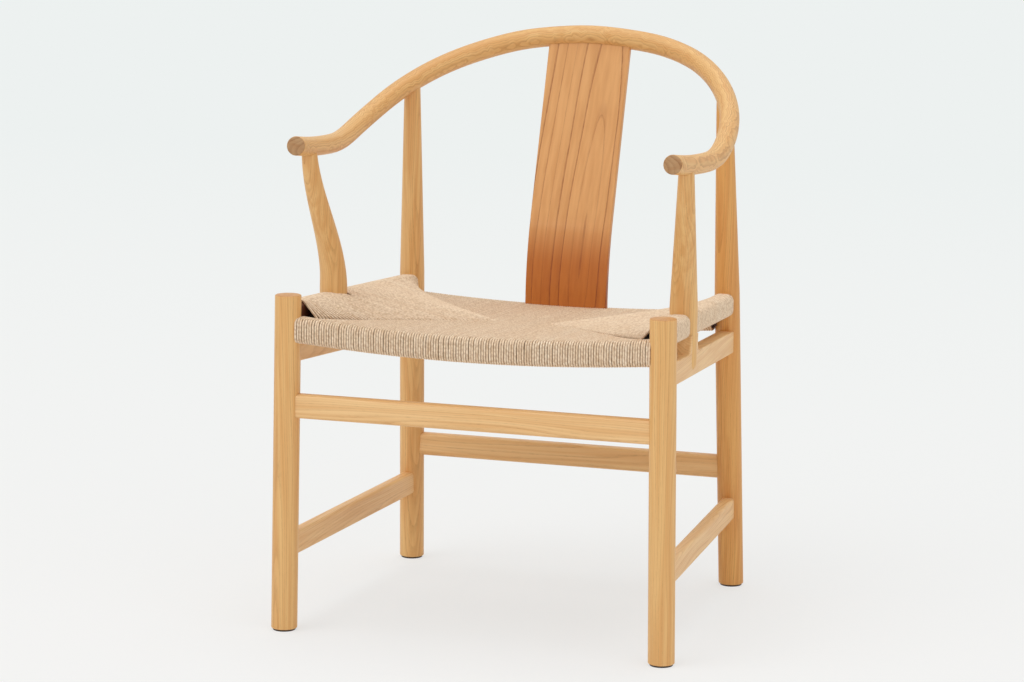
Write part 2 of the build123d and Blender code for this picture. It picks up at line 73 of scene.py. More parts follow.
camera_place = Vector((1398.9, -4450.7, 1193.1)) * MM
camera_pan = math.radians(17.794)
camera_tilt = math.radians(-9.990)
camera_roll = math.radians(0.646)
camera_data = bpy.data.cameras.new("camera")
camera_data.sensor_width = 36.0
camera_data.lens = 119.79
camera = add_object("camera", camera_data)
bpy.context.scene.camera = camera
camera.matrix_world = (
    Matrix.Translation(camera_place)
    @ Matrix.Rotation(camera_pan, 4, "Z")
    @ Matrix.Rotation(math.radians(90) + camera_tilt, 4, "X")
    @ Matrix.Rotation(camera_roll, 4, "Z")
)
print("camera stands", round(camera_place.length, 2), "m from the middle of the floor")

# %% [markdown]
# ## Tools for materials
#
# Colours are chosen as the hex values that a paint chart or a screen shows, and Blender's
# shaders work in linear light, so one function turns the first into the second. A second
# function adds a node, sets it up and wires it, which keeps every tree below readable.

# %% Material tools
def hex_colour(code):
    """Linear RGBA of an sRGB hex value such as '#E3C6A6'."""
    channels = [int(code[i : i + 2], 16) / 255 for i in (1, 3, 5)]
    return [c / 12.92 if c <= 0.04045 else ((c + 0.055) / 1.055) ** 2.4 for c in channels] + [1]


def add_node(tree, kind, inputs=None, stops=None, **settings):
    """Adds a node of a kind, sets or links its inputs, and gives it its settings.

    stops are a colour ramp's positions and grey levels.
    """
    node = tree.nodes.new(kind)
    for name, value in settings.items():
        setattr(node, name, value)
    for socket, value in (inputs or {}).items():
        if isinstance(value, bpy.types.NodeSocket):
            tree.links.new(value, node.inputs[socket])
        else:
            node.inputs[socket].default_value = value
    if stops:
        band = node.color_ramp.elements
        while len(band) < len(stops):
            band.new(1.0)
        for element, (position, level) in zip(band, stops):
            element.position = position
            element.color = (level, level, level, 1)
    return node


def new_material(name):
    """An empty node material and its tree."""
    material = bpy.data.materials.new(name)
    material.use_nodes = True
    material.node_tree.nodes.clear()
    return material, material.node_tree


def finish_material(tree, shader):
    """Wires a shader to the material's output."""
    add_node(tree, "ShaderNodeOutputMaterial", {"Surface": shader})


print("the screen grey #808080 is", round(hex_colour("#808080")[0], 3), "in linear light")

# %% [markdown]
# ## Studio
#
# A pale floor with soft light from everywhere shows form without hard shadows. The floor
# runs back past the top of the picture, so it is the whole background and needs no
# horizon. Its paint turns slightly cooler with distance, as a lit studio sweep does. A
# Light Path node tells the rays that show the floor from those that carry its light. For
# the first, part of the colour is a plain glow, which keeps the chair's shadow light.

# %% Floor
NEAR_FLOOR, FAR_FLOOR = "#F4F4F3", "#EDF1F0"
FLOOR_FADE = (-0.5, 5.0)  # m behind the chair's middle over which the paint changes
FLOOR_GLOW = 0.68  # share of its colour that no shadow darkens


def seen_rays(tree):
    """1 for rays that show the background: to the camera, or to it off gloss or glass."""
    path = add_node(tree, "ShaderNodeLightPath").outputs
    seen = path["Is Camera Ray"]
    for kind in ("Is Glossy Ray", "Is Transmission Ray"):
        either = add_node(tree, "ShaderNodeMath", {0: seen, 1: path[kind]}, operation="MAXIMUM")
        seen = either.outputs[0]
    return seen


def matte_floor():
    """Painted studio floor: matte, pale, and it keeps the chair's soft shadow."""
    material, tree = new_material("painted studio floor")
    place = add_node(tree, "ShaderNodeTexCoord").outputs["Object"]
    back = add_node(tree, "ShaderNodeSeparateXYZ", {0: place}).outputs[1]
    fade = add_node(
        tree, "ShaderNodeMapRange", {0: back, 1: FLOOR_FADE[0], 2: FLOOR_FADE[1]}
    ).outputs[0]
    colour = add_node(
        tree,
        "ShaderNodeMix",
        {0: fade, 6: hex_colour(NEAR_FLOOR), 7: hex_colour(FAR_FLOOR)},
        data_type="RGBA",
    ).outputs[2]
    paint = add_node(
        tree,
        "ShaderNodeBsdfPrincipled",
        {"Base Color": colour, "Roughness": 0.95, "Specular IOR Level": 0.0},
    )
    glow = add_node(tree, "ShaderNodeEmission", {"Color": colour})
    share = add_node(
        tree, "ShaderNodeMath", {0: seen_rays(tree), 1: FLOOR_GLOW}, operation="MULTIPLY"
    )
    both = add_node(
        tree,
        "ShaderNodeMixShader",
        {0: share.outputs[0], 1: paint.outputs[0], 2: glow.outputs[0]},
    )
    finish_material(tree, both.outputs[0])
    return material


floor_half = 40.0
floor_mesh = bpy.data.meshes.new("studio_floor")
floor_mesh.from_pydata(
    [(x * floor_half, y * floor_half, 0) for x, y in ((-1, -1), (1, -1), (1, 1), (-1, 1))],
    [],
    [(0, 1, 2, 3)],
)
floor = add_object("studio_floor", floor_mesh)
floor_mesh.materials.append(matte_floor())
print("floor reaches", floor_half, "m each way")

# %% [markdown]
# ## Light
#
# The lamps are suns with a very wide disc. A sun lights near and far alike, so the floor
# stays even, and the wide disc keeps every shadow soft. The world gives the rest. A level
# surface takes in the world's strength, plus each sun's strength times the sine of its
# height over pi. That sum is kept at one, so colours come out as they are written. Where
# the world itself is seen, it shows the colour of the far floor, so that a camera that
# looks past the floor's end meets no darker band.

# %% World and suns
WORLD_LEVEL = 0.5
SUN_DISC = 50  # degrees across
SUNS = (  # name, height and turn in degrees from the front towards the right, share of light
    ("key_sun", 50, -38, 0.20),
    ("fill_sun", 35, 60, 0.06),
    ("top_sun", 80, 180, 0.24),
)

world = bpy.data.worlds.new("studio")
bpy.context.scene.world = world
world.use_nodes = True
world.node_tree.nodes.clear()
lit = add_node(
    world.node_tree,
    "ShaderNodeBackground",
    {"Color": hex_colour("#FFFFFF"), "Strength": WORLD_LEVEL},
)
shown = add_node(
    world.node_tree, "ShaderNodeBackground", {"Color": hex_colour(FAR_FLOOR), "Strength": 1.0}
)
sky = add_node(
    world.node_tree,
    "ShaderNodeMixShader",
    {0: seen_rays(world.node_tree), 1: lit.outputs[0], 2: shown.outputs[0]},
)
add_node(world.node_tree, "ShaderNodeOutputWorld", {"Surface": sky.outputs[0]})
bpy.context.scene.view_settings.view_transform = "Standard"

for name, height, turn, share in SUNS:
    data = bpy.data.lights.new(name, "SUN")
    data.angle = math.radians(SUN_DISC)
    data.energy = share * math.pi / math.sin(math.radians(height))
    sun = add_object(name, data)
    sun.rotation_euler = (math.radians(90 - height), 0, math.radians(turn))
print("light on a level surface:", round(WORLD_LEVEL + sum(share for *_, share in SUNS), 2))

# %% [markdown]
# ## Ash
#
# Ash is a ring-porous wood. Each year's growth starts with a band of large pores, which
# reads as a darker line, and ends in dense pale wood. A board is a cut through nested
# cones, so the honest way to draw it is in three dimensions: the distance from the
# tree's pith, divided by the ring width, gives the rings everywhere, and the flat cuts
# show them as arches while the straight cuts show them as lines. The pith is put outside
# each piece, as a sawyer would leave it.

# %% Ash material
RING_WIDTH = 2.7  # mm, a slow-grown tree
PORE_LENGTH = 9.0  # mm
PORE_WIDTH = 0.75  # mm, about twice the real pore, so that it shows
PORE_BROWN = "#8A5A2C"
PORE_COVER = 0.3  # how far a pore's brown covers the wood
FIBRE_WIDTH, FIBRE_LENGTH = 1.3, 90.0  # mm
STREAK_WIDTH, STREAK_LENGTH = 6.0, 300.0  # mm, of the slow changes between two tones
WANDER_WIDTH, WANDER_LENGTH = 60.0, 500.0  # mm, of the bends that make the rings stray
FAINT_YEAR = 0.15  # how dark the palest year's ring is, beside 1 for the darkest
RING_STOPS = ((0.0, 0.9), (0.2, 0.7), (0.55, 0.15), (0.9, 0.0), (1.0, 0.5))
TOP_TINT = "#E6D6C6"  # end grain drinks more oil, so it is darker, here on top of a leg
SAWN_TINT = "#C9C6D7"  # and here on the ends of the bent rail

TURNS = {  # turns a piece so that its grain runs along the pattern's Z
    "X": (0, math.radians(90), 0),
    "Y": (math.radians(90), 0, 0),
    "Z": (0, 0, 0),
}


def grain_noise(tree, place, across, along, detail):
    """Noise with spots of a size across and along the grain, in mm."""
    size = (1 / across, 1 / across, 1 / along)
    stretched = add_node(tree, "ShaderNodeVectorMath", {0: place, 1: size}, operation="MULTIPLY")
    return add_node(
        tree,
        "ShaderNodeTexNoise",
        {"Vector": stretched.outputs[0], "Scale": 1.0, "Detail": detail},
    )


def wandering(tree, place, wander):
    """A place in the wood, moved sideways by slow noise, so that the rings stray."""
    slow = grain_noise(tree, place, WANDER_WIDTH, WANDER_LENGTH, 2.0)
    drift = add_node(
        tree,
        "ShaderNodeVectorMath",
        {0: slow.outputs["Color"], 1: (0.5, 0.5, 0.5)},
        operation="SUBTRACT",
    )
    return add_node(
        tree,
        "ShaderNodeVectorMath",
        {0: drift.outputs[0], 1: (2 * wander, 2 * wander, 0), 2: place},
        operation="MULTIPLY_ADD",
    ).outputs[0]


def year_rings(tree, place, ring, stops):
    """How much a point is early wood, from 0 to 1. No two years are alike."""
    across = add_node(tree, "ShaderNodeVectorMath", {0: place, 1: (1, 1, 0)}, operation="MULTIPLY")
    radius = add_node(tree, "ShaderNodeVectorMath", {0: across.outputs[0]}, operation="LENGTH")
    rings = add_node(
        tree, "ShaderNodeMath", {0: radius.outputs["Value"], 1: ring}, operation="DIVIDE"
    ).outputs[0]
    year = add_node(tree, "ShaderNodeMath", {0: rings}, operation="FRACT").outputs[0]
    early = add_node(tree, "ShaderNodeValToRGB", {0: year}, stops).outputs[0]
    number = add_node(tree, "ShaderNodeMath", {0: rings}, operation="FLOOR").outputs[0]
    season = add_node(tree, "ShaderNodeTexWhiteNoise", {"W": number}, noise_dimensions="1D")
    season = add_node(tree, "ShaderNodeMapRange", {0: season.outputs[0], 3: FAINT_YEAR, 4: 1.0})
    return add_node(
        tree, "ShaderNodeMath", {0: early, 1: season.outputs[0]}, operation="MULTIPLY"
    ).outputs[0]


def along_grain(tree, place, across, along, detail, low=0.0, high=1.0):
    """Noise stretched along the grain, from 0 where it is low to 1 where it is high."""
    noise = grain_noise(tree, place, across, along, detail)
    return add_node(
        tree, "ShaderNodeMapRange", {0: noise.outputs[0], 1: low, 2: high}
    ).outputs[0]


def pattern_place(tree, grain, pith, tilt, attribute):
    """A point's place, as it is and as the pattern takes it: in mm, with the pith along Z."""
    if attribute:
        source = add_node(tree, "ShaderNodeAttribute", attribute_name=attribute)
        place, turn, size = source.outputs["Vector"], (0, 0, 0), (1, 1, 1)
    else:
        source = add_node(tree, "ShaderNodeTexCoord")
        place, turn, size = source.outputs["Object"], TURNS[grain], (1 / MM,) * 3
    turn = (turn[0] + math.radians(tilt[0]), turn[1] + math.radians(tilt[1]), turn[2])
    mapped = add_node(
        tree,
        "ShaderNodeMapping",
        {"Vector": place, "Location": pith, "Rotation": turn, "Scale": size},
    )
    return place, mapped.outputs[0]


def tinted(tree, colour, place, top, low_tone, attribute):
    """A wood's colour, darkened where it is end grain and towards a board's foot."""
    height = add_node(tree, "ShaderNodeSeparateXYZ", {0: place}).outputs[2]
    tints = []
    if low_tone:
        tint, full, none = low_tone
        fade = add_node(
            tree,
            "ShaderNodeMapRange",
            {0: height, 1: full * MM, 2: none * MM, 3: 1.0, 4: 0.0},
            interpolation_type="SMOOTHSTEP",
        )
        tints.append((fade.outputs[0], tint))
    if top:
        past = add_node(
            tree, "ShaderNodeMath", {0: height, 1: top * MM}, operation="GREATER_THAN"
        )
        tints.append((past.outputs[0], TOP_TINT))
    if attribute:
        sawn = add_node(tree, "ShaderNodeAttribute", attribute_name="end_grain")
        tints.append((sawn.outputs["Fac"], SAWN_TINT))
    for share, tint in tints:
        colour = add_node(
            tree,
            "ShaderNodeMix",
            {0: share, 6: colour, 7: hex_colour(tint)},
            data_type="RGBA",
            blend_type="MULTIPLY",
        ).outputs[2]
    return colour


def ash(
    name,
    grain,
    pith,
    colours,
    strength=0.42,
    wander=14.0,
    rings=(RING_WIDTH, RING_STOPS),
    tilt=(0, 0),
    top=None,
    low_tone=None,
    attribute=None,
):
    """Oiled ash whose grain runs along an axis, or along an attribute's third number.

    pith is where the tree's middle lies, in mm, after the turn. colours are the pale wood,
    its warmer streaks and its rings. strength is how dark the rings are and wander how far
    they stray from true circles, in mm. rings are their width and how dark a year is from
    its start to its end. tilt leans the pith against the piece, in degrees. top is the
    height in mm past which the surface is end grain. low_tone is a tint for the piece's
    foot and the two heights in mm between which it fades out.
    """
    light, honey, vein = (hex_colour(code) for code in colours)
    material, tree = new_material(name)
    place, mapped = pattern_place(tree, grain, pith, tilt, attribute)
    strayed = wandering(tree, mapped, wander)
    early = year_rings(tree, strayed, *rings)
    fibre = along_grain(tree, strayed, FIBRE_WIDTH, FIBRE_LENGTH, 3.0)
    pores = along_grain(tree, strayed, PORE_WIDTH, PORE_LENGTH, 1.0, low=0.56, high=0.66)
    streak = along_grain(tree, strayed, STREAK_WIDTH, STREAK_LENGTH, 2.0, low=0.35, high=0.65)

    body = add_node(tree, "ShaderNodeMix", {0: streak, 6: light, 7: honey}, data_type="RGBA")
    weight = add_node(tree, "ShaderNodeMath", {0: early, 1: fibre}, operation="MULTIPLY")
    weight = add_node(
        tree, "ShaderNodeMath", {0: weight.outputs[0], 1: 2 * strength}, operation="MULTIPLY"
    )
    veined = add_node(
        tree,
        "ShaderNodeMix",
        {0: weight.outputs[0], 6: body.outputs[2], 7: vein},
        data_type="RGBA",
    )
    pitted = add_node(tree, "ShaderNodeMath", {0: pores, 1: early}, operation="MULTIPLY")
    dots = add_node(
        tree, "ShaderNodeMath", {0: pitted.outputs[0], 1: PORE_COVER}, operation="MULTIPLY"
    )
    colour = add_node(
        tree,
        "ShaderNodeMix",
        {0: dots.outputs[0], 6: veined.outputs[2], 7: hex_colour(PORE_BROWN)},
        data_type="RGBA",
    ).outputs[2]

    colour = tinted(tree, colour, place, top, low_tone, attribute)
    bump = add_node(
        tree,
        "ShaderNodeBump",
        {"Height": pitted.outputs[0], "Strength": 0.35, "Distance": 0.1 * MM},
        invert=True,
    )
    wood = add_node(
        tree,
        "ShaderNodeBsdfPrincipled",
        {"Base Color": colour, "Roughness": 0.46, "IOR": 1.5, "Normal": bump.outputs[0]},
    )
    finish_material(tree, wood.outputs[0])
    return material


print("rings every", RING_WIDTH, "mm, pores", PORE_WIDTH, "x", PORE_LENGTH, "mm")

# %% [markdown]
# ## Finish on the CAD's wooden parts
#
# The straight parts keep their CAD shape, so they only need a finish. Their meshes are
# loose triangles: Weld joins them, and Edge Split keeps the real edges crisp while the
# rounds shade smoothly. Each part has its own pith, so that no two look cut from the
# same place.

# %% Dress the wooden nodes
HONEY_ASH = ("#F0C17E", "#E4AB67", "#BD8041")  # pale wood, streaks and rings
AMBER_ASH = ("#ECB164", "#DE9B52", "#B67434")  # warmer and darker, for the right rear post
PALE_ASH = ("#F8CD92", "#EDBA7C", "#C68C50")  # a paler one
PAINTED_SHADE_ASH = ("#5C2C15", "#4A2210", "#321608")  # under the weave: painted shade, seen in the gaps between the cords
JOIN_WITHIN = 0.002 * MM  # points this near to each other are one
EDGE_ANGLE = math.radians(32)  # between two faces, from which on their edge is a real one


def shade_smooth(piece):
    """Shades all faces of a piece smoothly."""
    piece.data.polygons.foreach_set("use_smooth", [True] * len(piece.data.polygons))


def keep_edges(piece):
    """Shades a piece smoothly between its real edges."""
    shade_smooth(piece)
    split = piece.modifiers.new("keep edges", "EDGE_SPLIT")
    split.split_angle = EDGE_ANGLE
    split.use_edge_sharp = False


def smooth_node(node):
    """Joins a CAD node's triangles, and shades them smoothly between its real edges."""
    weld = node.modifiers.new("join triangles", "WELD")
    weld.merge_threshold = JOIN_WITHIN
    keep_edges(node)


def dress(node, material):
    """Gives an object one material."""
    node.data.materials.clear()
    node.data.materials.append(material)


GRAIN_ALONG = {
    f"{stem}_{end}": axis
    for stem, ends, axis in (
        ("front_leg", ("left", "right"), "Z"),
        ("rear_post", ("left", "right"), "Z"),
        ("arm_support", ("left", "right"), "Z"),
        ("seat_rail", ("front", "rear"), "X"),
        ("seat_rail", ("left", "right"), "Y"),
        ("lower_side_rail", ("left", "right"), "Y"),
        ("stretcher", ("front", "rear"), "X"),
        ("stretcher", ("left", "right"), "Y"),
    )
    for end in ends
}
TONES = {  # a chair is cut from several boards; a name without its end stands for all
    # the seat rails are dark as painted shade, seen between the cords
    "seat_rail": PAINTED_SHADE_ASH,
    "stretcher": PALE_ASH,
    "lower_side_rail": PALE_ASH,
    "rear_post_right": AMBER_ASH,
}
PITH_ASIDE = (25, 60)  # mm from a piece's middle, at least and at most
END_DEPTH = 0.8  # mm below a leg's top that still show as end grain
chance = random.Random(7)
for name, grain in GRAIN_ALONG.items():
    low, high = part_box(name)
    middle = (low + high) / 2 / MM
    turned = Matrix.Rotation(TURNS[grain][0], 3, "X") @ middle
    if grain == "X":
        turned = Matrix.Rotation(TURNS[grain][1], 3, "Y") @ middle
    aside = chance.uniform(*PITH_ASIDE)
    angle = chance.uniform(0, math.tau)
    pith = (aside * math.cos(angle) - turned.x, aside * math.sin(angle) - turned.y, 0)
    label = f"oiled ash, {name.replace('_', ' ')}"
    colours = TONES.get(name, TONES.get(name.rsplit("_", 1)[0], HONEY_ASH))
    top = high.z / MM - END_DEPTH if name.startswith("front_leg") else None
    dress(nodes[name], ash(label, grain, pith, colours, top=top))
    smooth_node(nodes[name])
print(len(GRAIN_ALONG), "wooden nodes dressed")

# %% [markdown]
# ## Splat
#
# The splat is one wide board, so its figure is what the eye rests on. Its rings are far
# apart. The pith leans slightly against the board and comes nearest to it low down on the
# right, and there the lines close into a narrow arch, with long lines beside it. Its foot
# is a deeper orange: the colour darkens towards the bottom.

# %% Splat
SPLAT_ASH = ("#E6AA6A", "#DC9E5E", "#9F5C26")
SPLAT_RINGS = (  # mm from one to the next, and how dark a year is from start to end
    14.0,
    ((0.0, 1.0), (0.05, 0.8), (0.16, 0.15), (0.6, 0.0), (0.96, 0.1), (1.0, 1.0)),
)
SPLAT_TILT = (13.0, -2.5)  # degrees backwards, as the board is raked, and to the side
SPLAT_FOOT = ("#DCB070", 450, 535)  # tint, and the heights in mm between which it fades
SPLAT_NEAREST = (20.0, 172.0, 455.0)  # where the pith comes nearest to the board
PITH_DEPTH = 11.2  # mm in front of the board there
splat_low, splat_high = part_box("back_splat")
lean = Matrix.Rotation(math.radians(SPLAT_TILT[0]), 3, "X")
lean = Matrix.Rotation(math.radians(SPLAT_TILT[1]), 3, "Y") @ lean
leaned = lean @ Vector(SPLAT_NEAREST)
splat_pith = (-leaned.x, PITH_DEPTH - leaned.y, 0)
splat_finish = ash(
    "oiled ash, splat board",
    "Z",
    splat_pith,
    SPLAT_ASH,
    strength=0.9,
    wander=6.0,
    rings=SPLAT_RINGS,
    tilt=SPLAT_TILT,
    low_tone=SPLAT_FOOT,
)
dress(nodes["back_splat"], splat_finish)
smooth_node(nodes["back_splat"])
print("splat is", round((splat_high.x - splat_low.x) / MM, 1), "mm wide")

# %% [markdown]
# ## Crest rail
#
# The horseshoe is one bent rod, so its grain turns with it. A pattern in plain object
# space would cut straight through the bend. The rail's own mesh is therefore copied, and
# each of its points is given three numbers: its two distances across the rod and its
# distance along it. The sawn faces in front, where the arms end, are marked too, since
# end grain shows darker. The copy stands for the CAD node and has exactly its shape.

# %% Crest rail
def merged_copy(node, name):
    """A plain copy of a CAD node's mesh with its loose triangles joined."""
    shape = bmesh.new()
    shape.from_mesh(nodes[node].data)
    bmesh.ops.remove_doubles(shape, verts=shape.verts, dist=JOIN_WITHIN)
    mesh = bpy.data.meshes.new(name)
    shape.to_mesh(mesh)
    shape.free()
    return add_object(name, mesh)


bend_middle = Vector((0, 60))  # mm, plan centre of the horseshoe's round part
SLICES = 40  # of the rail in one radian round there
TIP_DEPTH = 3.0  # mm behind the foremost point that still belong to an arm's end
TIP_REACH = 20.0  # mm from the tip within which a face can be end grain
TIP_FACING = 0.6  # how squarely a face of the end has to look forwards
crest = merged_copy("crest_rail", "bent_crest_rail")
slices = {}
for vertex in crest.data.vertices:
    plan = Vector((vertex.co.x, vertex.co.y)) / MM - bend_middle
    turn = math.atan2(plan.x, plan.y)
    slices.setdefault(round(turn * SLICES), []).append(vertex.co / MM)
route = [sum(points, Vector()) / len(points) for _, points in sorted(slices.items())]
runs = [0.0]
for before, after in zip(route, route[1:]):
    runs.append(runs[-1] + (after - before).length)


def along_route(point):
    """Across, level and along a rod's route, in mm."""
    best = min(range(len(route) - 1), key=lambda i: (route[i] + route[i + 1] - 2 * point).length)
    step = route[best + 1] - route[best]
    share = (point - route[best]).dot(step) / step.length_squared
    offset = point - route[best] - step * share
    level = Vector((0, 0, 1)).cross(step).normalized()
    return offset.dot(level), offset.z, runs[best] + share * step.length


grain = crest.data.attributes.new("grain", "FLOAT_VECTOR", "POINT")
for index, vertex in enumerate(crest.data.vertices):
    grain.data[index].vector = along_route(vertex.co / MM)
end_grain = crest.data.attributes.new("end_grain", "FLOAT", "FACE")
sawn_faces = 0
for side in (-1, 1):
    arm = [v.co / MM for v in crest.data.vertices if v.co.x * side > 0]
    front = min(point.y for point in arm)
    tip_points = [point for point in arm if point.y < front + TIP_DEPTH]
    tip = sum(tip_points, Vector()) / len(tip_points)
    for face in crest.data.polygons:
        near = (face.center / MM - tip).length < TIP_REACH
        if near and -face.normal.y > TIP_FACING:
            end_grain.data[face.index].value = 1.0
            sawn_faces += 1
print("faces of end grain:", sawn_faces)
RAIL_PITH = (31, 12, 0)  # mm beside and above the rod's middle
rail_finish = ash(
    "oiled ash, bent rail",
    "Z",
    RAIL_PITH,
    HONEY_ASH,
    strength=0.7,
    wander=4.0,
    attribute="grain",
)
dress(crest, rail_finish)
keep_edges(crest)
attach(crest, "root")
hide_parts("crest_rail")
print("crest rail is", round(runs[-1]), "mm along its middle")

# %% [markdown]
# ## Foot glides
#
# Each foot stands on a thin disc of dark moulded nylon. It is matte and nearly black, with
# a fine grain from the mould, so one noise bump and a high roughness are enough.

# %% Foot glides
MOULD_GRAIN = 0.6  # mm


def mottled(tree, size, detail, dark, light):
    """Spots of a size in mm: their noise, and the colour between two that it gives."""
    place = add_node(tree, "ShaderNodeTexCoord").outputs["Object"]
    spots = add_node(
        tree, "ShaderNodeTexNoise", {"Vector": place, "Scale": 1 / (size * MM), "Detail": detail}
    ).outputs[0]
    tint = add_node(
        tree,
        "ShaderNodeMix",
        {0: spots, 6: hex_colour(dark), 7: hex_colour(light)},
        data_type="RGBA",
    ).outputs[2]
    return spots, tint


def moulded_nylon():
    """Dark brown nylon, slightly grained by its mould."""
    material, tree = new_material("moulded nylon")
    grain, tint = mottled(tree, MOULD_GRAIN, 2.0, "#2A1B13", "#3A271C")
    bump = add_node(
        tree, "ShaderNodeBump", {"Height": grain, "Strength": 0.3, "Distance": 0.05 * MM}
    )
    nylon = add_node(
        tree,
        "ShaderNodeBsdfPrincipled",
        {"Base Color": tint, "Roughness": 0.6, "IOR": 1.53, "Normal": bump.outputs[0]},
    )
    finish_material(tree, nylon.outputs[0])
    return material


nylon_finish = moulded_nylon()
for name in nodes:
    if name.startswith("foot_glide"):
        dress(nodes[name], nylon_finish)
        smooth_node(nodes[name])
print(sum(name.startswith("foot_glide") for name in nodes), "glides")

# %% [markdown]
# ## Woven seat: the rule of the weave
#
# The seat is an envelope weave. The cord goes over a rail, under it and up through the
# middle, one rail after another, so that four fields of parallel strands meet in seams
# that run in from the corners. Every strand is pulled tight round its rail. A tight cord
# takes the outline of what it is pulled round, so each strand is drawn as the convex
# outline of its rail's rounded section and of its two seam points. The sizes and places
# of the rails and uprights are those of the CAD, written here again, in millimetres: a
# size that is changed there has to be changed here too.

# %% Rails and cord
CORD = 3.42  # mm across, a standard twisted paper cord
PITCH = 3.49  # from one strand to the next
GAP = 0.3  # between the cord and the wood
FRONT_HALF = (10.0, 14.0)  # half the thickness and half the height of the front seat rail
REAR_HALF = (10.0, 11.0)
SIDE_HALF = (11.0, 12.5)
RAIL_EDGE = 6.0  # radius of a seat rail's long edges
LEG_AXIS_Y = -263.25  # the front legs' axes; distances back are measured from here
LEG_RADIUS = 17.75
SETBACK = 429.1  # from there to the rear posts' axes, at seat height
SIDE_AXIS_X = (254.8, 234.5)  # a side rail's centre line, at its front and rear ends
SIDE_AXIS_Z = (437.4, 413.2)
FRONT_AXIS = (260.4, 2.5, 416.1, 13.0)  # half span, distance back, end height and dish
REAR_AXIS = (236.6, 423.5, 390.8, 9.0)


def mix(first, last, share):
    """Value between two."""
    return first + (last - first) * share


def dished_height(axis, x):
    """Height of a dished rail's centre line at x."""
    half_span, _, end_height, dish = axis
    radius = (half_span**2 + dish**2) / (2 * dish)
    return end_height - dish + radius - math.sqrt(radius**2 - x**2)


def side_axis(back):
    """A side rail's centre line at a distance back from the front legs: its x and height."""
    share = back / SETBACK
    return mix(*SIDE_AXIS_X, share), mix(*SIDE_AXIS_Z, share)


print("front rail dips to", round(dished_height(FRONT_AXIS, 0), 1), "mm in the middle")

# %% Seams
FRONT_CORNER = (224.0, 16.0, 428.0)  # where a front seam starts: x, distance back, height
REAR_CORNER = (226.0, 414.0, 405.0)  # the same for a rear seam
APEX = (40.0, 216.0, 406.5)  # where a side field comes to its point
PAD = 16.0  # between the cords' middles above and below, at the seams


def end_seam(corner, x):
    """Distance back and height, at x, of the seam that runs in from a corner."""
    share = (corner[0] - abs(x)) / (corner[0] - APEX[0])
    return mix(corner[1], APEX[1], share), mix(corner[2], APEX[2], share)


def side_seam(back):
    """x and height of the seam that a side strand meets at a distance back."""
    corner = FRONT_CORNER if back < APEX[1] else REAR_CORNER
    share = (back - corner[1]) / (APEX[1] - corner[1])
    return mix(corner[0], APEX[0], share), mix(corner[2], APEX[2], share)


print("side fields end", 2 * APEX[0], "mm apart")

# %% Tight cord round a rail
EDGE_STEPS = 6  # round one edge of a rail


def rail_outline(half):
    """Where the middle of a cord runs round a rail: inboard distance and height."""
    grow = GAP + CORD / 2
    edge = RAIL_EDGE + grow
    across, up = half[0] + grow - edge, half[1] + grow - edge
    points = []
    for quarter, (a, z) in enumerate(((1, 1), (-1, 1), (-1, -1), (1, -1))):
        for step in range(EDGE_STEPS + 1):
            angle = math.radians(90) * (quarter + step / EDGE_STEPS)
            points.append((a * across + edge * math.cos(angle), z * up + edge * math.sin(angle)))
    return points


def convex(points):
    """Convex outline of points in a plane, anticlockwise."""
    points = sorted(set(points))
    chains = []
    for ordered in (points, points[::-1]):
        chain = []
        for point in ordered:
            while len(chain) > 1 and (
                (chain[-1][0] - chain[-2][0]) * (point[1] - chain[-2][1])
                <= (chain[-1][1] - chain[-2][1]) * (point[0] - chain[-2][0])
            ):
                chain.pop()
            chain.append(point)
        chains.append(chain[:-1])
    return chains[0] + chains[1]


RUN_SHARES = (0.96, 0.85, 0.7, 0.55, 0.4, 0.25, 0.15, 0.08, 0.035)  # of a run, from its seam


def tight_loop(half, above, below):
    """A strand's points from its upper seam point round the rail to its lower one.

    Each is an inboard distance and a height from the rail's centre line. Points are added
    along both free runs, closer together near the rail.
    """
    clear = half[0] + GAP + CORD  # a seam point stays clear of the wrapped rail
    above, below = (max(above[0], clear), above[1]), (max(below[0], clear), below[1])
    loop = convex([*rail_outline(half), above, below])
    start = loop.index(above)
    loop = loop[start:] + loop[:start]
    upper, lower = (
        [(mix(near[0], far[0], share), mix(near[1], far[1], share)) for share in RUN_SHARES]
        for near, far in ((loop[1], above), (loop[-2], below))
    )
    return [above, *upper, *loop[1:-1], *lower[::-1], below]


print("a cord's middle passes", len(rail_outline(SIDE_HALF)), "points round a rail")

# %% Strand lines
DIVE = 5.0  # how far a strand's end dips at its seam
DIVE_KNEE = 0.3  # the share of it that is reached right at the seam
DIVE_BEFORE, DIVE_PAST = 2.5, 1.5  # how far before the seam it starts and past it ends


def dipped(loop):
    """A loop whose two ends dip into the seat at the seam."""
    (above_a, above_z), (below_a, below_z) = loop[0], loop[-1]
    head = [(above_a + DIVE_PAST, above_z - DIVE), (above_a, above_z - DIVE * DIVE_KNEE)]
    head.append((above_a - DIVE_BEFORE, above_z))
    tail = [(below_a - DIVE_BEFORE, below_z), (below_a, below_z + DIVE * DIVE_KNEE)]
    tail.append((below_a + DIVE_PAST, below_z + DIVE))
    return [*head, *loop[1:-1], *tail]


def parted(loop, half):
    """A loop in two parts, with the stretch inside half of the centre line left out."""
    ahead = next(i for i, (a, _) in enumerate(loop) if a < half)
    behind = next(i for i, (a, _) in enumerate(loop) if a < -half)

    def crossing(index, a):
        (a0, z0), (a1, z1) = loop[index - 1], loop[index]
        return a, mix(z0, z1, (a - a0) / (a1 - a0))

    first = [*loop[:ahead], crossing(ahead, half)]
    return first, [crossing(behind, -half), *loop[behind:]]


